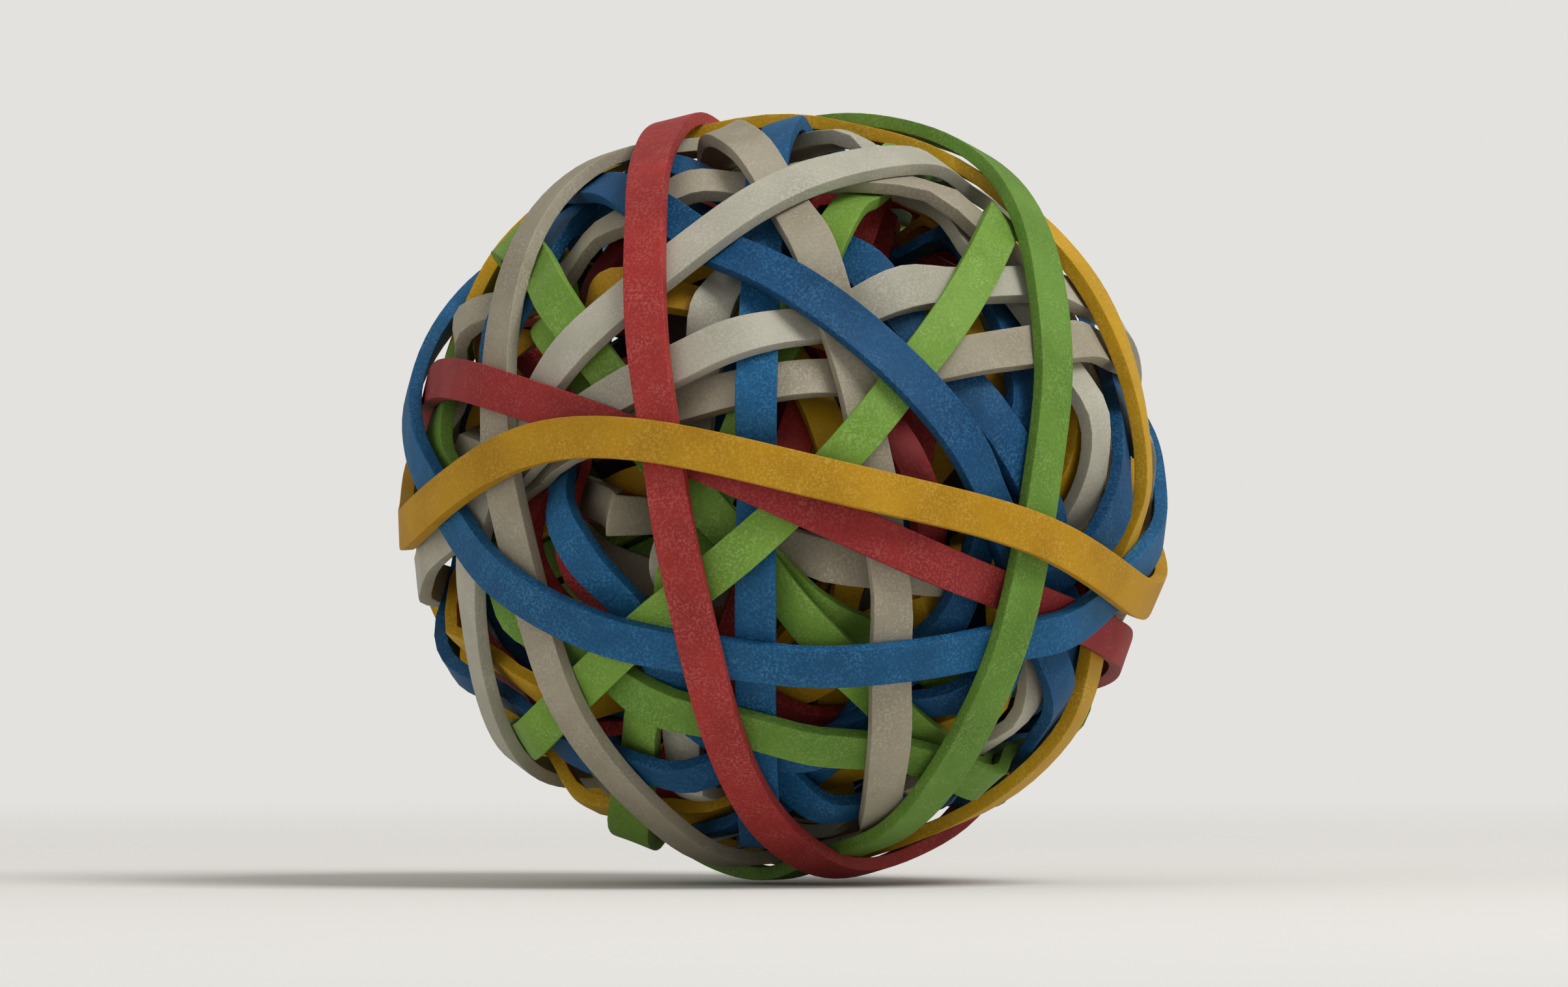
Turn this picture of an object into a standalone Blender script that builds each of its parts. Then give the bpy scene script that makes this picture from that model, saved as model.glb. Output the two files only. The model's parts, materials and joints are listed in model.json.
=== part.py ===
# Rubber band ball, about 60 mm across.
# Flat rubber bands of five colours are pulled taut one after the other round a wad of older
# windings. Each band is a closed loop of its own. The bands over it press it into the wad
# where they cross it, so the ball stays round, and between them it runs straight.
# The origin is the middle of the ball, +Z is up, and the side that is looked at faces -Y.

import itertools
import math

import bmesh
import bpy
import numpy as np

MM = 0.001

# Sizes in millimetres
BALL_RADIUS = 30.4
BAND_WIDTH = 3.2
BAND_THICKNESS = 0.8
CONTACT_GAP = 0.3
LAYER_DEPTH = 0.1
EDGE_MARGIN = 0.5
END_MARGIN = 0.02

# Stations are the places along a band where its section is set. A band is laid with many of
# them, and the finished band keeps those where it bends most.
LAYING_STATIONS = 144
KEPT_STATIONS = 32
FIRST_STATIONS = 8
NEAR_HALF_WIDTHS = 2
MOST_TILT = math.radians(8)

# How a band springs back to its own height on both sides of a crossing, and how it is
# pulled straight between the places that it rests on
SPRING_BACK = 0.15
ROUGH_PASSES = 16
PRESSING_PASSES = 60
PULLING_PASSES = 60
CLEARING_PASSES = 10
TOUCHING = 1e-5
UNDER, OVER = 1, -1

# How a band strays from a great circle where it can be seen, and slips on the far side
ROUTE_UNIT = 0.01
LEAST_DEPTH = 0.1
ROUTE_REACH = 0.55
ROUTE_LOOSENESS = 0.02
ROUTE_PASSES = 2
SLIP_ANGLES = [math.radians(angle) for angle in (-16, -8, 0, 8, 16)]
SLIP_REACH = 0.5
SLIP_PLACE = 0.75
CROWD_WEIGHT = 3.0

# Spacing of the points that describe the faces of the bands and of the core
ALONG_SHARES = np.arange(10) / 10
OVER_SHARES = np.arange(5) / 4
FACET_STEPS = 4
MAP_PLACES = 2500
MAP_REACH = 0.05
GOLDEN_ANGLE = math.pi * (3 - math.sqrt(5))

# Routes over the side that is looked at, in the order of winding, first the deepest.
# Each point is (across, up) from the middle, in hundredths of the ball's radius.
BANDS = [
    ("blue", [(-30, -75), (-10, -78), (10, -78), (30, -75)]),
    ("red", [(-62, -67), (-52, -75), (-40, -80)]),
    ("yellow", [(-38, -71), (-27, -68), (-17, -65)]),
    ("red", [(26, 70), (27, 58), (33, 43)]),
    ("yellow", [(19, 62), (30, 57), (48, 41), (57, 26)]),
    ("red", [(18, 63), (16, 56), (5, 20)]),
    ("blue", [(48, -20), (45, -33), (41, -53)]),
    ("yellow", [(-30, 77), (-23, 75), (-17, 72)]),
    ("red", [(-30, 82), (-20, 80), (-12, 76)]),
    ("yellow", [(53, -13), (40, -25), (20, -38), (3, -53)]),
    ("white", [(-49, -3), (-33, -7), (3, -15), (21, -20)]),
    ("red", [(-63, 3), (-64, -7), (-60, -27)]),
    ("yellow", [(-53, 45), (-43, 50), (-27, 48), (-18, 47)]),
    ("white", [(-21, 38), (-17, 48), (-13, 57)]),
    ("red", [(-46, 69), (-53, 55), (-58, 46)]),
    ("green", [(-65, 55), (-58, 39), (-50, 28)]),
    ("blue", [(43, 27), (53, 17), (57, 5)]),
    ("yellow", [(73, 30), (73, 20), (71, 0)]),
    ("blue", [(62, 28), (61, 17), (57, 7)]),
    ("white", [(75, 23), (77, 10), (77, 0), (75, -10)]),
    ("blue", [(72, -40), (77, -50), (72, -60)]),
    ("green", [(29, 84), (21, 77), (11, 63)]),
    ("white", [(32, 78), (40, 74), (50, 68)]),
    ("blue", [(-52, 77), (-62, 60), (-57, 3), (-53, -7), (-46, -19), (-42, -30)]),
    ("blue", [(86, 30), (87, 17), (85, 3), (80, -8), (77, -17)]),
    ("green", [(-19, -5), (-3, -22), (14, -43), (33, -61)]),
    ("white", [(-27, 22), (5, 28), (45, 33), (82, 37)]),
    ("blue", [(-4, 92), (-6, 50), (-7, 17), (-7, -27), (-7, -53)]),
    ("green", [(-55, -42), (-30, -54), (0, -63), (33, -66), (58, -71)]),
    ("white", [(-42, 25), (-17, 36), (0, 41), (23, 49), (40, 52), (73, 51)]),
    ("white", [(-22, 95), (-1, 75), (9, 57), (18, 28), (27, -20), (25, -67), (19, -88)]),
    ("green", [(55, 67), (42, 42), (28, 24), (-1, -7), (-19, -22), (-32, -32)]),
    ("blue", [(-50, 79), (-27, 68), (0, 54), (17, 43), (33, 27), (50, 7)]),
    ("white", [(52, 83), (17, 83), (-17, 67), (-50, 39), (-77, 5), (-83, -20), (-75, -57)]),
    ("white", [(-45, 87), (-65, 67), (-73, 33), (-72, 0), (-62, -40), (-47, -67), (-23, -91)]),
    ("yellow", [(55, 78), (77, 54), (91, 24), (94, 0)]),
    ("red", [(-53, 19), (-17, 6), (17, -9), (33, -16), (68, -30)]),
    ("blue", [(-76, -20), (-50, -36), (-17, -42), (17, -45), (43, -42), (63, -38), (80, -31)]),
    ("green", [(59, 77), (67, 50), (69, 23), (67, 0), (59, -33), (44, -67), (27, -88)]),
    ("red", [(-32, 92), (-35, 57), (-32, 17), (-26, -17), (-19, -50), (-8, -83)]),
    ("yellow", [(-90, -8), (-83, 4), (-67, 11), (-33, 12), (0, 6), (33, -3), (67, -12), (91, -35)]),
]

# Colours as linear red, green, blue, and the surface of cured rubber
RUBBER_COLOURS = {
    "red": (0.42, 0.03, 0.03),
    "blue": (0.01, 0.11, 0.31),
    "green": (0.21, 0.36, 0.05),
    "yellow": (0.53, 0.29, 0.01),
    "white": (0.50, 0.47, 0.41),
    "core": (0.10, 0.09, 0.08),
}
RUBBER_ROUGHNESS = 0.7
SHARP_EDGE_ANGLE = math.radians(40)
CORE_SUBDIVISIONS = 4
CORE_FACET = 3.7
CORE_RADIUS = BALL_RADIUS - LAYER_DEPTH * len(BANDS) - BAND_THICKNESS


def unit(vectors):
    """Vectors scaled to length one."""
    return vectors / np.linalg.norm(vectors, axis=-1, keepdims=True)


def around(count):
    """Even turns round a full circle, in radians."""
    return np.arange(count) * 2 * math.pi / count


def bump(turns, place, reach):
    """A smooth rise to one at a place on a circle, and nothing far from it."""
    return np.exp((np.cos(turns - place) - 1) / reach ** 2)


def even_directions(count):
    """Directions spread evenly over a sphere."""
    turns = np.arange(count) * GOLDEN_ANGLE
    heights = 1 - (2 * np.arange(count) + 1) / count
    rings = np.sqrt(1 - heights ** 2)
    return np.column_stack([rings * np.cos(turns), rings * np.sin(turns), heights])


def corner_shares(along, over):
    """Shares of the corners of a stretch, which folds from its left start to its right end.

    The corners are left and right at the start, then left and right at the end.
    """
    shares = [1 - np.maximum(along, over), over - along, along - over, np.minimum(along, over)]
    return np.maximum(np.stack(shares, axis=-1), 0)


def face_points(left, right):
    """Points all over a face that runs between two edges."""
    along, over = np.meshgrid(ALONG_SHARES, OVER_SHARES)
    shares = corner_shares(along.ravel(), over.ravel())
    corners = np.stack([left, right, np.roll(left, -1, axis=0), np.roll(right, -1, axis=0)])
    return np.einsum("sc,cpx->spx", shares, corners).reshape(-1, 3)


class Cover:
    """The inner faces of all the bands that lie over the next one."""

    def __init__(self):
        self.points = np.empty((0, 3))
        self.places = even_directions(MAP_PLACES)
        self.heights = np.full(MAP_PLACES, BALL_RADIUS)

    def add(self, points):
        """Take up the inner face of one more band."""
        self.points = np.concatenate([self.points, points])
        heights = np.linalg.norm(points, axis=1)
        close = points @ self.places.T > (heights * math.cos(MAP_REACH))[:, None]
        which, place = np.nonzero(close)
        np.minimum.at(self.heights, place, heights[which])

    def depths(self, directions):
        """How deep the cover reaches in some directions."""
        return BALL_RADIUS - self.heights[(directions @ self.places.T).argmax(axis=1)]


def lifted(points, radii):
    """Directions of points that are seen on the front of the ball."""
    flat = np.array(points) * ROUTE_UNIT * BALL_RADIUS / np.reshape(radii, (-1, 1))
    depth = np.sqrt(np.maximum(1 - np.sum(flat * flat, axis=1), LEAST_DEPTH ** 2))
    return unit(np.column_stack([flat[:, 0], -depth, flat[:, 1]]))


def route_through(points, radii):
    """Directions of the stations of a band that passes through points on the front.

    The band follows the best great circle, and strays from it only near the points. Its first
    station is in the middle of the stretch that is seen.
    """
    seen = lifted(points, radii)
    pole = np.linalg.svd(seen)[2][2]
    first = unit(seen.mean(axis=0) - seen.mean(axis=0) @ pole * pole)
    second = np.cross(pole, first)
    seen_turns = np.arctan2(seen @ second, seen @ first)
    seen_lifts = np.arcsin(seen @ pole)
    turns = around(LAYING_STATIONS)
    hold = bump(seen_turns[:, None], seen_turns, ROUTE_REACH) + ROUTE_LOOSENESS * np.eye(len(points))
    lifts = bump(turns[:, None], seen_turns, ROUTE_REACH) @ np.linalg.solve(hold, seen_lifts)
    flat = np.outer(np.cos(turns), first) + np.outer(np.sin(turns), second)
    return flat * np.cos(lifts)[:, None] + np.outer(np.sin(lifts), pole)


def slipped(route, cover):
    """The route with its far side slid to where fewer bands lie over it."""
    pole = unit(np.cross(route, np.roll(route, -LAYING_STATIONS // 4, axis=0)).mean(axis=0))
    turns = around(LAYING_STATIONS)
    one_side = bump(turns, math.pi - SLIP_PLACE, SLIP_REACH)
    other_side = bump(turns, math.pi + SLIP_PLACE, SLIP_REACH)
    best, least = route, math.inf
    for one, other in itertools.product(SLIP_ANGLES, SLIP_ANGLES):
        tried = unit(route + np.outer(one * one_side + other * other_side, pole))
        depths = np.sort(cover.depths(tried[::4]))
        cost = depths.mean() + CROWD_WEIGHT * depths[-len(depths) // 4:].mean()
        if cost < least:
            best, least = tried, cost
    return best


class Band:
    """One band on its route, with the heights of its two outer edges.

    Heights are kept as one over the height, because that runs straight between the corners of
    a flat facet. So whatever touches a band sets one linear limit on four of its corners.
    """

    def __init__(self, route, own_radius):
        self.route = route
        along = np.roll(route, -1, axis=0) - np.roll(route, 1, axis=0)
        self.side = unit(np.cross(along, route))
        self.own_radius = own_radius
        self.half_angle = BAND_WIDTH / 2 / own_radius
        self.kept = np.arange(LAYING_STATIONS)
        self.edges = np.full((LAYING_STATIONS, 2), 1 / own_radius)

    def near(self, points):
        """Directions, heights and stations of the points that lie over or under the band."""
        heights = np.linalg.norm(points, axis=1)
        closeness = points @ self.route.T / heights[:, None]
        near = closeness.max(axis=1, initial=-1) > math.cos(NEAR_HALF_WIDTHS * self.half_angle)
        return points[near] / heights[near, None], heights[near], closeness[near].argmax(axis=1)

    def limits(self, points, layer):
        """Corners, weights and limits of what the stretches between stations lie under or over."""
        kept = self.kept
        rays, heights, stations = self.near(points)
        heights = heights - CONTACT_GAP if layer == UNDER else heights + CONTACT_GAP + BAND_THICKNESS
        route, side = self.route[kept], self.side[kept]
        following = np.roll(np.arange(len(kept)), -1)
        into = np.linalg.inv(np.stack([route, route[following], unit(side + side[following])], axis=2))
        reach = self.half_angle + EDGE_MARGIN / self.own_radius
        corners, weights, limits = [], [], []
        for behind in (0, 1):
            place = (stations - behind) % LAYING_STATIONS
            stretch = (np.searchsorted(kept, place, side="right") - 1) % len(kept)
            start, end, lateral = np.einsum("pij,pj->ip", into[stretch], rays)
            both = start + end
            met = (np.minimum(start, end) > -END_MARGIN) & (np.abs(lateral) <= both * reach)
            start, end, stretch = np.maximum(start[met], 0), np.maximum(end[met], 0), stretch[met]
            both = start + end
            across = np.clip(lateral[met] / (both * self.half_angle), -1, 1)
            weights.append(both[:, None] * corner_shares(end / both, (1 + across) / 2))
            limits.append(1 / heights[met])
            ahead = following[stretch]
            corners.append(np.column_stack([2 * stretch, 2 * stretch + 1, 2 * ahead, 2 * ahead + 1]))
        return np.concatenate(corners), np.concatenate(weights), np.concatenate(limits)

    def limit_tilt(self, edges, layer):
        """Move one edge on, down or up, where the band would stand too steep."""
        heights = 1 / edges
        rise = BAND_WIDTH * math.tan(MOST_TILT)
        if layer == UNDER:
            return 1 / np.minimum(heights, heights.min(axis=1, keepdims=True) + rise)
        return 1 / np.maximum(heights, heights.max(axis=1, keepdims=True) - rise)

    def clear(self, edges, limits, layer):
        """Move the corners just enough to clear whatever the band lies under or over."""
        corners, weights, closest = limits
        closeness = edges.reshape(-1)
        lack = layer * (closest - np.sum(weights * closeness[corners], axis=1))
        met = lack > 0
        share = weights[met] / np.sum(weights[met] ** 2, axis=1)[:, None]
        change = np.zeros_like(closeness)
        np.maximum.at(change, corners[met], lack[met, None] * share)
        edges = (closeness + layer * change).reshape(-1, 2)
        return self.limit_tilt(edges, layer)

    def press_in(self, cover, passes):
        """Pass under the cover, and spring back to the band's own height beside it."""
        limits = self.limits(cover.points, UNDER)
        for _ in range(passes):
            beside = (np.roll(self.edges, 1, axis=0) + np.roll(self.edges, -1, axis=0)) / 2
            eased = beside + SPRING_BACK * (1 / self.own_radius - beside)
            self.edges = self.clear((self.edges + eased) / 2, limits, UNDER)

    def outer_edges(self):
        """Left and right outer edges at the kept stations."""
        heights = 1 / self.edges
        left = heights[:, :1] * (self.route[self.kept] - self.half_angle * self.side[self.kept])
        right = heights[:, 1:] * (self.route[self.kept] + self.half_angle * self.side[self.kept])
        return left, right

    def keep_stations(self, cover):
        """Keep the stations where the band bends most, and clear the cover with them alone."""
        every = self.kept
        corners = np.hstack(self.outer_edges())
        kept = list(range(0, LAYING_STATIONS, LAYING_STATIONS // FIRST_STATIONS))
        while len(kept) < KEPT_STATIONS:
            drawn = [np.interp(every, kept, column, period=LAYING_STATIONS) for column in corners[kept].T]
            miss = (np.column_stack(drawn) - corners).reshape(-1, 2, 3)
            kept = sorted(kept + [int(np.linalg.norm(miss, axis=2).max(axis=1).argmax())])
        self.kept = np.array(kept)
        self.edges = self.edges[self.kept]
        limits = self.limits(cover.points, UNDER)
        for _ in range(CLEARING_PASSES):
            self.edges = self.clear(self.edges, limits, UNDER)

    def pull_straight(self, bed):
        """Run straight between the places that the band rests on, and nowhere further out."""
        pressed = self.edges
        corners, weights, closest = self.limits(bed, OVER)
        closest = np.maximum(closest, np.sum(weights * pressed.reshape(-1)[corners], axis=1))
        limits = corners, weights, closest
        route = self.route[self.kept]
        ahead = np.arccos(np.sum(route * np.roll(route, -1, axis=0), axis=1))[:, None]
        back = np.roll(ahead, 1)
        for _ in range(PULLING_PASSES):
            before, after = np.roll(self.edges, 1, axis=0), np.roll(self.edges, -1, axis=0)
            chord = (before * np.sin(ahead) + after * np.sin(back)) / np.sin(back + ahead)
            lowered = np.maximum(self.edges, (self.edges + chord) / 2)
            self.edges = np.maximum(pressed, self.clear(lowered, limits, OVER))
        for _ in range(CLEARING_PASSES):
            self.edges = np.maximum(pressed, self.clear(self.edges, limits, OVER))
        for _ in range(CLEARING_PASSES):
            edges = self.edges.reshape(-1).copy()
            hit = corners[np.sum(weights * edges[corners], axis=1) > closest + TOUCHING].ravel()
            edges[hit] = pressed.reshape(-1)[hit]
            self.edges = edges.reshape(-1, 2)

    def sections(self):
        """Corners of the section at each kept station: left and right inside, then outside."""
        left, right = self.outer_edges()
        middle = left + right
        along = np.roll(middle, -1, axis=0) - np.roll(middle, 1, axis=0)
        thick = BAND_THICKNESS * unit(np.cross(right - left, along))
        return np.stack([left - thick, right - thick, left, right], axis=1)


def press_band_in(points, own_radius, cover):
    """Pass one band under all that lies over it, so that it is seen to pass its points."""
    radii = np.full(len(points), own_radius)
    for _ in range(ROUTE_PASSES):
        band = Band(route_through(points, radii), own_radius)
        band.press_in(cover, ROUGH_PASSES)
        nearest = (lifted(points, radii) @ band.route.T).argmax(axis=1)
        radii = (1 / band.edges).mean(axis=1)[nearest]
    band = Band(slipped(route_through(points, radii), cover), own_radius)
    band.press_in(cover, PRESSING_PASSES)
    band.keep_stations(cover)
    sections = band.sections()
    cover.add(face_points(sections[:, 0], sections[:, 1]))
    return band


def core_shape(cover):
    """The wad of older windings: a ball that the bands press dents into."""
    shape = bmesh.new()
    bmesh.ops.create_icosphere(shape, subdivisions=CORE_SUBDIVISIONS, radius=1)
    heights = np.linalg.norm(cover.points, axis=1)
    rays = cover.points / heights[:, None]
    reach = math.cos(CORE_FACET / CORE_RADIUS)
    for vertex in shape.verts:
        ray = unit(np.array(vertex.co))
        vertex.co = ray * (heights[rays @ ray > reach] - CONTACT_GAP).min(initial=CORE_RADIUS)
    return shape


def facet_points(shape):
    """Points all over the facets of a shape."""
    corners = np.array([[vertex.co for vertex in face.verts] for face in shape.faces])
    steps = range(FACET_STEPS + 1)
    shares = np.array([(i, j, FACET_STEPS - i - j) for i in steps for j in steps if i + j <= FACET_STEPS])
    return np.einsum("sc,fcx->sfx", shares / FACET_STEPS, corners).reshape(-1, 3)


def wind_ball():
    """The core, the sections of every band, and the centre of the box round them all."""
    cover = Cover()
    bands = []
    for over_it, (colour, points) in enumerate(reversed(BANDS)):
        bands.insert(0, press_band_in(points, BALL_RADIUS - LAYER_DEPTH * over_it, cover))
    core = core_shape(cover)
    bed = facet_points(core)
    windings = []
    for band in bands:
        band.pull_straight(bed)
        sections = band.sections()
        windings.append(sections)
        bed = np.concatenate([bed, face_points(sections[:, 2], sections[:, 3])])
    corners = np.concatenate(windings).reshape(-1, 3)
    return core, windings, (corners.min(axis=0) + corners.max(axis=0)) / 2


def rubber(colour):
    """Cured rubber of one colour."""
    material = bpy.data.materials.new(f"{colour}_rubber")
    material.use_nodes = True
    surface = material.node_tree.nodes["Principled BSDF"]
    surface.inputs["Base Color"].default_value = (*RUBBER_COLOURS[colour], 1.0)
    surface.inputs["Roughness"].default_value = RUBBER_ROUGHNESS
    surface.inputs["Metallic"].default_value = 0.0
    return material


def add_object(name, shape, middle, material):
    """Make an object from a bmesh in millimetres, about the middle of the ball's box."""
    bmesh.ops.translate(shape, vec=-middle, verts=shape.verts)
    bmesh.ops.scale(shape, vec=(MM, MM, MM), verts=shape.verts)
    bmesh.ops.recalc_face_normals(shape, faces=shape.faces)
    mesh = bpy.data.meshes.new(name)
    shape.to_mesh(mesh)
    shape.free()
    mesh.shade_smooth()
    mesh.set_sharp_from_angle(angle=SHARP_EDGE_ANGLE)
    mesh.materials.append(material)
    piece = bpy.data.objects.new(name, mesh)
    bpy.context.collection.objects.link(piece)


def add_band(name, sections, middle, material):
    """Make one band as a closed strip with four sides, each folded from start to end."""
    shape = bmesh.new()
    inside, right, outside, left = (0, 1), (1, 3), (2, 3), (0, 2)
    rings = [[shape.verts.new(corner) for corner in section] for section in sections]
    for ring, following in zip(rings, rings[1:] + rings[:1]):
        for one, other in (inside, right, outside, left):
            shape.faces.new([ring[one], ring[other], following[other]])
            shape.faces.new([ring[one], following[other], following[one]])
    add_object(name, shape, middle, material)


def build_ball():
    """Build the whole ball in an empty scene."""
    for old in list(bpy.data.objects):
        bpy.data.objects.remove(old)
    materials = {colour: rubber(colour) for colour in RUBBER_COLOURS}
    core, windings, middle = wind_ball()
    add_object("wound_core", core, middle, materials["core"])
    for number, ((colour, points), sections) in enumerate(zip(BANDS, windings), start=1):
        add_band(f"{colour}_band_{number:02d}", sections, middle, materials[colour])


build_ball()
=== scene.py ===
import json
import math

import bpy
import numpy as np
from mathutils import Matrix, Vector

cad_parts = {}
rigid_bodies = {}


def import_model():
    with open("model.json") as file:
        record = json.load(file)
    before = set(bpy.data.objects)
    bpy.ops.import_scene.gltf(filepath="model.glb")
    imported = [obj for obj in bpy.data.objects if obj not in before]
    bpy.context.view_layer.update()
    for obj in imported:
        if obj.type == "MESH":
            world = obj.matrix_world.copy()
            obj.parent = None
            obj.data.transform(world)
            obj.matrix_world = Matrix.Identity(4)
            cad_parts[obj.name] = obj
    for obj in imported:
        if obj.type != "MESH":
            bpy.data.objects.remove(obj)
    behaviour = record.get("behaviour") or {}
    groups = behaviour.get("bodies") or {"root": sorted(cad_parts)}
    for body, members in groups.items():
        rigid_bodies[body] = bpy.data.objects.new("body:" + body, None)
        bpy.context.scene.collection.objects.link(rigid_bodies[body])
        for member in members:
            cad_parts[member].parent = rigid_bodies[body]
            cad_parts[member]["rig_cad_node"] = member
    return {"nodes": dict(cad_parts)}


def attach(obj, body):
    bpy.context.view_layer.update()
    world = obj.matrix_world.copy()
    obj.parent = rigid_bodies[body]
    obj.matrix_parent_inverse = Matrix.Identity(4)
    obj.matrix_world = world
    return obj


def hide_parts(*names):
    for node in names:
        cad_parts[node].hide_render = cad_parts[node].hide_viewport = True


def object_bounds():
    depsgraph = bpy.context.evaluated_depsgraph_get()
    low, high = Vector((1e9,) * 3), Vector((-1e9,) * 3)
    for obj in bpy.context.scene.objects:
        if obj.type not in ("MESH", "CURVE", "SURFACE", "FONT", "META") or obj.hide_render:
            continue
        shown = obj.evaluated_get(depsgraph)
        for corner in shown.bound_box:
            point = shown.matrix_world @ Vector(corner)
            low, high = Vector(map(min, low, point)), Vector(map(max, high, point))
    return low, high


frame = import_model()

cad_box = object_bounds()


# The outer bands, wound last. Each is an office rubber band: a ring cut from an extruded tube of
# vulcanised natural rubber, 3.2 mm wide and 0.8 mm thick. It is stretched round the ball by hand,
# lies flat on the bands under it, and holds itself by its own pull.

MM = 0.001
SETTLE = 0.26 * MM  # nearly all of the gap that the solids keep between two bands
FACING = 0.6  # how squarely a normal has to point along the radius
EDGE_ROUNDING = 0.08 * MM
ROUNDING_STEPS = 2
CUT_EDGE_ANGLE = math.radians(55)
QUAD_ANGLE = math.radians(50)
SAME_PLACE = 0.001 * MM
SMOOTHING_LEVELS = 2


def pick_only(piece):
    """Select one piece and nothing else."""
    bpy.ops.object.select_all(action="DESELECT")
    piece.select_set(True)
    bpy.context.view_layer.objects.active = piece


def apply_modifier(piece, kind, settings):
    """Add a modifier with its settings, and apply it."""
    modifier = piece.modifiers.new(kind.lower(), kind)
    for setting, value in settings.items():
        setattr(modifier, setting, value)
    pick_only(piece)
    bpy.ops.object.modifier_apply(modifier=modifier.name)


def settle_on_what_is_under(band):
    """Press the inner face of a band onto the bands that it lies on."""
    inner = set()
    for face in band.data.polygons:
        if face.normal.dot(face.center.normalized()) < -FACING:
            inner.update(face.vertices)
    for index in inner:
        corner = band.data.vertices[index].co
        corner -= SETTLE * corner.normalized()


def stretch_band(node, piece_name):
    """A smooth rubber band on the route of one CAD band, with softly rounded cut edges."""
    band = node.copy()
    band.data = node.data.copy()
    band.name = band.data.name = piece_name
    del band["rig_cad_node"]
    band.parent = None
    bpy.context.collection.objects.link(band)
    pick_only(band)
    bpy.ops.object.mode_set(mode="EDIT")
    bpy.ops.mesh.select_mode(type="EDGE")
    bpy.ops.mesh.select_all(action="SELECT")
    bpy.ops.mesh.remove_doubles(threshold=SAME_PLACE)
    bpy.ops.mesh.tris_convert_to_quads(face_threshold=QUAD_ANGLE, shape_threshold=QUAD_ANGLE)
    bpy.ops.object.mode_set(mode="OBJECT")
    settle_on_what_is_under(band)
    bpy.ops.object.mode_set(mode="EDIT")
    bpy.ops.mesh.select_all(action="DESELECT")
    bpy.ops.mesh.edges_select_sharp(sharpness=CUT_EDGE_ANGLE)
    bpy.ops.mesh.bevel(offset=EDGE_ROUNDING, segments=ROUNDING_STEPS, affect="EDGES")
    bpy.ops.object.mode_set(mode="OBJECT")
    apply_modifier(band, "SUBSURF",
                   {"levels": SMOOTHING_LEVELS, "render_levels": SMOOTHING_LEVELS})
    bpy.ops.object.shade_smooth()
    return band


# Cured natural rubber, dusted with talc when it is made: a matt, slightly chalky face with fine
# pale specks that gather in patches, and a dye that clouds a little darker and lighter along the
# band. The real talc is far finer than GRAIN, which is as coarse as it needs to be to show.

GRAIN = 0.20 * MM
GRAIN_HEIGHT = 0.03 * MM
DUST_PATCH = 2.2 * MM
DYE_CLOUD = 6.0 * MM
FIRST_COLOUR, SECOND_COLOUR, MIXED_COLOUR = 6, 7, 2  # places among the sockets of a Mix node


def linear(srgb_hex):
    """An sRGB hex colour as linear red, green, blue and alpha."""
    shares = [int(srgb_hex[place:place + 2], 16) / 255 for place in (1, 3, 5)]
    return [s / 12.92 if s <= 0.04045 else ((s + 0.055) / 1.055) ** 2.4 for s in shares] + [1.0]


def add_node(tree, kind, settings=(), links=()):
    """Add a node to a material. Its sockets are given by name or by place."""
    node = tree.nodes.new(kind)
    for name, value in dict(settings).items():
        if isinstance(name, int) or name in node.inputs:
            node.inputs[name].default_value = value
        else:
            setattr(node, name, value)
    for name, source in dict(links).items():
        tree.links.new(source, node.inputs[name])
    return node


def natural_rubber(name, face_hex, shade_hex, dust_hex):
    """Dyed natural rubber of one colour."""
    material = bpy.data.materials.new(name)
    material.use_nodes = True
    tree = material.node_tree
    tree.nodes.clear()
    place = add_node(tree, "ShaderNodeTexCoord").outputs["Object"]
    dye = add_node(tree, "ShaderNodeTexNoise", {"Scale": 1 / DYE_CLOUD, "Detail": 3.0},
                   {"Vector": place})
    clouds = add_node(tree, "ShaderNodeMapRange", {"From Min": 0.35, "From Max": 0.65},
                      {"Value": dye.outputs["Fac"]})
    body = add_node(tree, "ShaderNodeMix",
                    {"data_type": "RGBA", FIRST_COLOUR: linear(shade_hex),
                     SECOND_COLOUR: linear(face_hex)},
                    {"Factor": clouds.outputs["Result"]})
    grain = add_node(tree, "ShaderNodeTexNoise", {"Scale": 1 / GRAIN, "Detail": 1.5},
                     {"Vector": place})
    specks = add_node(tree, "ShaderNodeMapRange", {"From Min": 0.44, "From Max": 0.68},
                      {"Value": grain.outputs["Fac"]})
    patch = add_node(tree, "ShaderNodeTexNoise", {"Scale": 1 / DUST_PATCH, "Detail": 4.0},
                     {"Vector": place})
    spread = add_node(tree, "ShaderNodeMapRange",
                      {"From Min": 0.35, "From Max": 0.7, "To Min": 0.25, "To Max": 0.8},
                      {"Value": patch.outputs["Fac"]})
    dust = add_node(tree, "ShaderNodeMath", {"operation": "MULTIPLY"},
                    {0: specks.outputs["Result"], 1: spread.outputs["Result"]})
    face = add_node(tree, "ShaderNodeMix", {"data_type": "RGBA", SECOND_COLOUR: linear(dust_hex)},
                    {"Factor": dust.outputs["Value"], FIRST_COLOUR: body.outputs[MIXED_COLOUR]})
    dull = add_node(tree, "ShaderNodeMapRange", {"To Min": 0.56, "To Max": 0.8},
                    {"Value": specks.outputs["Result"]})
    relief = add_node(tree, "ShaderNodeBump", {"Strength": 0.4, "Distance": GRAIN_HEIGHT},
                      {"Height": grain.outputs["Fac"]})
    skin = add_node(tree, "ShaderNodeBsdfPrincipled", {"IOR": 1.45, "Specular IOR Level": 0.25},
                    {"Base Color": face.outputs[MIXED_COLOUR], "Roughness": dull.outputs["Result"],
                     "Normal": relief.outputs["Normal"]})
    add_node(tree, "ShaderNodeOutputMaterial", (), {"Surface": skin.outputs["BSDF"]})
    return material


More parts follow.
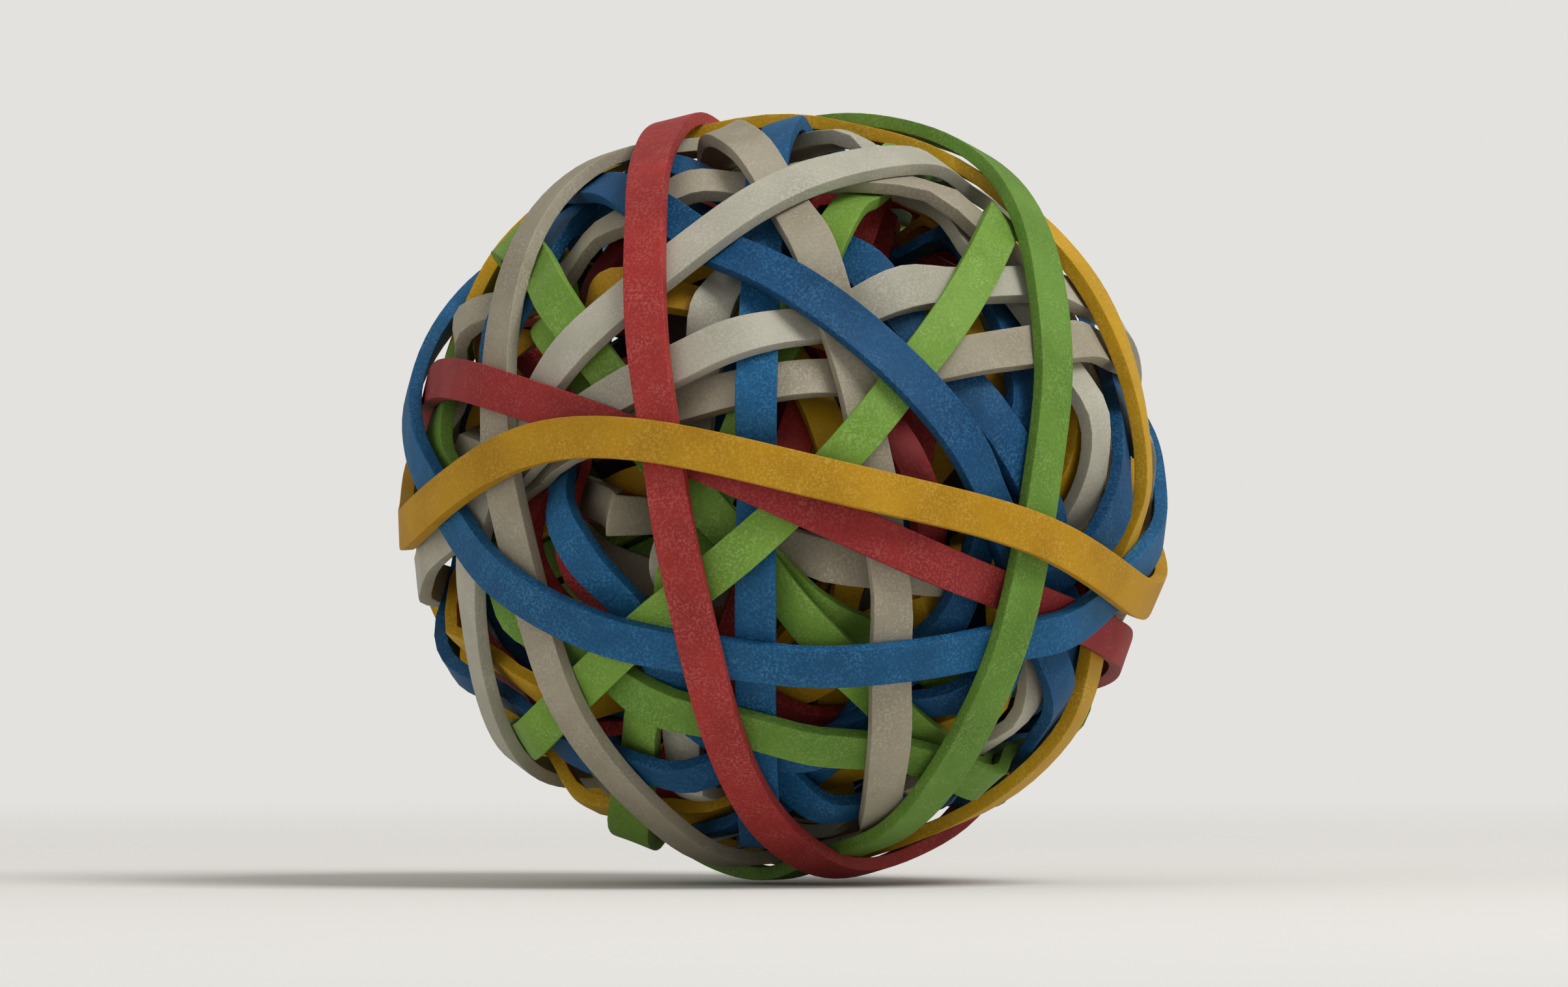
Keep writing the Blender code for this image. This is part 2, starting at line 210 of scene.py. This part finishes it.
# Two batches of each colour, because the real bands don't come from one batch either.
rubber = {
    "red": [natural_rubber("red_natural_rubber", "#A32E2B", "#8E2726", "#B9605A"),
            natural_rubber("deep_red_natural_rubber", "#942829", "#7F2022", "#A8544F")],
    "blue": [natural_rubber("blue_natural_rubber", "#155583", "#114972", "#3F7FA6"),
             natural_rubber("deep_blue_natural_rubber", "#124A76", "#0E3E65", "#376F95")],
    "green": [natural_rubber("green_natural_rubber", "#749B37", "#658A2F", "#92B266"),
              natural_rubber("deep_green_natural_rubber", "#648B32", "#567A29", "#80A258")],
    "yellow": [natural_rubber("yellow_natural_rubber", "#C4960E", "#B2860B", "#D2AF4C"),
               natural_rubber("deep_yellow_natural_rubber", "#B9890D", "#A5780A", "#C7A043")],
    "white": [natural_rubber("white_natural_rubber", "#B2AE9D", "#A39F8E", "#C3C0B3"),
              natural_rubber("aged_white_natural_rubber", "#A39B87", "#938A76", "#B5AE9D")],
}


def dress_band(name):
    """Show one CAD band as a rubber band, and let the finished piece ride in its place."""
    colour, _, number = name.split("_")
    band = stretch_band(frame["nodes"][name], f"{colour}_rubber_band_{number}")
    band.data.materials.clear()
    band.data.materials.append(rubber[colour][int(number) % 2])
    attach(band, "root")
    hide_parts(name)
    return band


def winding_number(name):
    """When a band was wound: 1 first, and the highest number last."""
    return int(name.split("_")[-1])


FIRST_OUTER_BAND = 34
band_nodes = sorted((name for name in frame["nodes"] if "_band_" in name), key=winding_number)
outer_bands = [dress_band(name) for name in band_nodes
               if winding_number(name) >= FIRST_OUTER_BAND]


# The inner bands are the same office rubber bands, wound before those and held down by them. They
# show in the gaps. Soft and under pressure, they bulge out where no outer band holds them down,
# and nearly fill the gaps.

BULGE_PLACES = 8000  # directions in which the bulge is worked out
FACE_REACH = 1.3 * MM  # how far round itself a corner stands for its face
HELD_REACH = 1.7 * MM  # how far round itself an outer band holds the inner ones down
BULGE_REACH = 4.2 * MM  # how far a bulge takes to swell or to die away
TOP_OF_BULGES = 29.3 * MM  # where no outer band is near
MOST_BULGE = 1.16  # times the distance from the centre
CLEARANCE = 0.12 * MM  # air left under what lies over a band
LEAST_NEARNESS = 1e-12  # keeps a division from failing
GOLDEN_TURN = math.pi * (3 - math.sqrt(5))


def read_rows(members, attribute):
    """A vector of each member of a mesh, as the rows of an array."""
    values = np.empty(3 * len(members))
    members.foreach_get(attribute, values)
    return values.reshape(-1, 3)


def face_corners(piece, outwards):
    """The vertices of the faces of a band that look out, or of those that look in."""
    corners = read_rows(piece.data.vertices, "co")
    normals = read_rows(piece.data.vertex_normals, "vector")
    facing = np.sum(corners * normals, axis=1) / np.linalg.norm(corners, axis=1)
    return corners[facing > FACING] if outwards else corners[facing < -FACING]


def unit(vectors):
    """Vectors scaled to length one."""
    return vectors / np.linalg.norm(vectors, axis=-1, keepdims=True)


def even_directions(count):
    """Directions spread evenly over a sphere."""
    turns = np.arange(count) * GOLDEN_TURN
    heights = 1 - (2 * np.arange(count) + 1) / count
    rings = np.sqrt(1 - heights ** 2)
    return np.column_stack([rings * np.cos(turns), rings * np.sin(turns), heights])


low, high = cad_box
ball_radius = high.x


def within(directions, others, reach):
    """Which directions lie within a reach of which others, at the ball's radius."""
    return directions @ others.T > math.cos(reach / ball_radius)


# How far out the inner bands may come in each direction, under the outer bands.
places = even_directions(BULGE_PLACES)
ceiling = np.full(BULGE_PLACES, TOP_OF_BULGES)
for band in outer_bands:
    corners = face_corners(band, outwards=False)
    corner, place = np.nonzero(within(unit(corners), places, FACE_REACH))
    np.minimum.at(ceiling, place, np.linalg.norm(corners, axis=1)[corner])

# How far out the inner bands come before they bulge.
inner_bands = [dress_band(name) for name in band_nodes
               if winding_number(name) < FIRST_OUTER_BAND]
tops = np.zeros(BULGE_PLACES)
for band in inner_bands:
    corners = face_corners(band, outwards=True)
    corner, place = np.nonzero(within(unit(corners), places, FACE_REACH))
    np.maximum.at(tops, place, np.linalg.norm(corners, axis=1)[corner])

# How much farther out they can go, where there is a band at all.
filled = tops > 0
places, ceiling, tops = places[filled], ceiling[filled], tops[filled]
freedom = np.clip((ceiling - CLEARANCE) / tops, 1, MOST_BULGE)
held = np.array([freedom[row].min() for row in within(places, places, HELD_REACH)])

for band in inner_bands:
    corners = read_rows(band.data.vertices, "co")
    beside = unit(corners) @ places.T - math.cos(BULGE_REACH / ball_radius)
    nearness = np.maximum(beside, 0) ** 2
    swell = nearness @ held / np.maximum(nearness.sum(axis=1), LEAST_NEARNESS)
    corners *= np.maximum(swell, 1)[:, None]
    band.data.vertices.foreach_set("co", corners.ravel())
    band.data.update()


# The older bands are the same rubber again, wound first and held under all the others. They fill
# the space between those and the heart of the ball, and show only at the bottom of the gaps. They
# are numbered from the outermost inwards.

OLDER_BANDS = 44
OLDER_STATIONS = 132
FIRST_RADIUS = 25 * MM  # before a ring is pushed out to what lies over it
LAYER_STEP = 0.17 * MM  # how much deeper each ring lies than the one before
BAND_WIDTH = 3.2 * MM
BAND_THICKNESS = 0.8 * MM
CORNER_REACH = BAND_WIDTH / 4  # how far round itself a corner of the underside stands for it
CORNER_STEP = 3  # one corner in three of the underside is enough
BULGE_SLOPE = 0.6  # how steeply a ring may rise beside what holds it down
TOP_OF_OLDER_BANDS = 28.2 * MM
STRAY = 0.07  # how far a ring strays from its great circle, as a share of its radius
TURNS_BETWEEN = 7  # golden turns from one ring to the next
LEVELLING_PASSES = 6
LEVELLING_RISE = 0.1 * MM
OLDER_COLOURS = ["red", "yellow", "blue", "white", "green", "red",
                 "yellow", "green", "blue", "red", "yellow"]

underside = np.concatenate([face_corners(band, outwards=False)[::CORNER_STEP]
                            for band in outer_bands + inner_bands])
underside_heights = np.linalg.norm(underside, axis=1)
underside_rays = unit(underside)


def room_under(rays):
    """How far out an older band can lie in some directions, under all the later bands."""
    angles = np.arccos(np.clip(rays @ underside_rays.T, -1, 1))
    beyond = np.maximum(angles - CORNER_REACH / underside_heights, 0)
    room = (underside_heights * (1 + BULGE_SLOPE * beyond)).min(axis=1)
    return np.minimum(room, TOP_OF_OLDER_BANDS)


def wind_older_band(order, name):
    """A plain ring of band, wound near a great circle and pushed out under the later bands."""
    bpy.ops.object.select_all(action="DESELECT")
    bpy.ops.mesh.primitive_circle_add(vertices=OLDER_STATIONS, radius=FIRST_RADIUS)
    ring = bpy.context.object
    ring.name = ring.data.name = name
    bpy.ops.object.mode_set(mode="EDIT")
    bpy.ops.mesh.select_all(action="SELECT")
    bpy.ops.transform.translate(value=(0, 0, -BAND_WIDTH / 2))
    bpy.ops.mesh.extrude_region_move(TRANSFORM_OT_translate={"value": (0, 0, BAND_WIDTH)})
    bpy.ops.object.mode_set(mode="OBJECT")
    for vertex in ring.data.vertices:
        turn = math.atan2(vertex.co.y, vertex.co.x)
        vertex.co.z += STRAY * vertex.co.xy.length * math.sin(2 * turn + order * GOLDEN_TURN)
    lean = math.acos(1 - (2 * order + 1) / (2 * OLDER_BANDS))
    ring.rotation_euler = (lean, 0, order * GOLDEN_TURN * TURNS_BETWEEN)
    pick_only(ring)
    bpy.ops.object.transform_apply(location=True, rotation=True, scale=True)
    rays = unit(read_rows(ring.data.vertices, "co"))
    heights = room_under(rays) - CLEARANCE - order * LAYER_STEP
    for edge in (slice(0, OLDER_STATIONS), slice(OLDER_STATIONS, 2 * OLDER_STATIONS)):
        level = heights[edge]
        for _ in range(LEVELLING_PASSES):
            level = (np.roll(level, 1) + 2 * level + np.roll(level, -1)) / 4
        heights[edge] = np.minimum(level, heights[edge] + LEVELLING_RISE)
    for vertex, ray, height in zip(ring.data.vertices, rays, heights):
        vertex.co = ray * height
    bpy.ops.object.mode_set(mode="EDIT")
    bpy.ops.mesh.select_all(action="SELECT")
    bpy.ops.mesh.normals_make_consistent(inside=False)
    bpy.ops.object.mode_set(mode="OBJECT")
    apply_modifier(ring, "SOLIDIFY", {"thickness": BAND_THICKNESS, "offset": -1.0})
    apply_modifier(ring, "BEVEL", {"width": EDGE_ROUNDING, "segments": ROUNDING_STEPS,
                                   "limit_method": "ANGLE", "angle_limit": CUT_EDGE_ANGLE})
    bpy.ops.object.shade_smooth()
    return ring


for order in range(OLDER_BANDS):
    colour = OLDER_COLOURS[order % len(OLDER_COLOURS)]
    ring = wind_older_band(order, f"older_{colour}_band_{order + 1:02d}")
    ring.data.materials.append(rubber[colour][order % 2])
    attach(ring, "root")


# The heart of the ball is a wad of knotted old bands, pressed together by all those round it. It
# is never seen whole.

HEART_RADIUS = 17.0 * MM
bpy.ops.object.select_all(action="DESELECT")
bpy.ops.mesh.primitive_ico_sphere_add(subdivisions=5, radius=HEART_RADIUS)
heart = bpy.context.object
heart.name = heart.data.name = "wadded_heart"
# Old natural rubber, which age turns brown and dull; its dark colour is also painted shade, put
# there so that the deepest gaps read as dark.
heart.data.materials.append(natural_rubber("old_rubber_painted_shade", "#3A2A26", "#241B1A", "#4A3A34"))
bpy.ops.object.shade_smooth()
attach(heart, "root")
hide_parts("wound_core")


# The ball lies on a plain pale table of matt board, which fades out into the same pale tone all
# round. One large soft light from the upper right, a weak one from the left and an even sky light
# it.

TABLE_SIZE = 3.0
FADE_START = 0.05
FADE_END = 0.42
FLOOR_GAP = 0.05 * MM
bpy.ops.object.select_all(action="DESELECT")
bpy.ops.mesh.primitive_plane_add(size=TABLE_SIZE, location=(0, 0, low.z - FLOOR_GAP))
table = bpy.context.object
table.name = table.data.name = "pale_table"
bpy.ops.object.transform_apply(location=True, rotation=True, scale=True)
# Matt painted board: an even, off-white face without gloss.
board = bpy.data.materials.new("matt_board")
board.use_nodes = True
tree = board.node_tree
face = tree.nodes["Principled BSDF"]
face.inputs["Base Color"].default_value = linear("#EAE8E4")
face.inputs["Roughness"].default_value = 0.95
face.inputs["Specular IOR Level"].default_value = 0.1
place = add_node(tree, "ShaderNodeTexCoord").outputs["Object"]
distance = add_node(tree, "ShaderNodeVectorMath", {"operation": "LENGTH"}, {"Vector": place})
fade = add_node(tree, "ShaderNodeMapRange",
                {"interpolation_type": "SMOOTHSTEP", "From Min": FADE_START, "From Max": FADE_END},
                {"Value": distance.outputs["Value"]})
clear = add_node(tree, "ShaderNodeBsdfTransparent")
faded = add_node(tree, "ShaderNodeMixShader", (),
                 {"Fac": fade.outputs["Result"], 1: face.outputs["BSDF"], 2: clear.outputs["BSDF"]})
tree.links.new(faded.outputs["Shader"], tree.nodes["Material Output"].inputs["Surface"])
table.data.materials.append(board)

SKY_LIGHT = 0.5  # what the sky gives the ball
SKY_SEEN = 0.88  # how bright the camera sees it, to match the table
scene = bpy.context.scene
world = bpy.data.worlds.new("studio") if scene.world is None else scene.world
scene.world = world
world.use_nodes = True
tree = world.node_tree
sky = tree.nodes["Background"]
sky.inputs["Color"].default_value = linear("#F1EFEB")
seen = add_node(tree, "ShaderNodeLightPath").outputs["Is Camera Ray"]
strength = add_node(tree, "ShaderNodeMapRange", {"To Min": SKY_LIGHT, "To Max": SKY_SEEN},
                    {"Value": seen})
tree.links.new(strength.outputs["Result"], sky.inputs["Strength"])


def add_softbox(name, place, size, power):
    """A large square light that faces the ball."""
    light = bpy.data.lights.new(name, "AREA")
    light.size = size
    light.energy = power
    lamp = bpy.data.objects.new(name, light)
    bpy.context.collection.objects.link(lamp)
    lamp.location = place
    lamp.rotation_euler = (-lamp.location).to_track_quat("-Z", "Y").to_euler()


add_softbox("key_light", place=(0.55, -0.35, 0.85), size=0.5, power=7.5)
add_softbox("fill_light", place=(-0.70, -0.60, 0.25), size=0.7, power=1.2)

CAMERA_DISTANCE = 1.4
VIEW_WIDTH = 0.120
LEVEL = math.radians(90)
camera = bpy.data.objects.new("camera", bpy.data.cameras.new("camera"))
bpy.context.collection.objects.link(camera)
camera.location = (0, -CAMERA_DISTANCE, 0)
camera.rotation_euler = (LEVEL, 0, 0)
camera.data.lens = camera.data.sensor_width * CAMERA_DISTANCE / VIEW_WIDTH
scene.camera = camera
scene.view_settings.view_transform = "Standard"
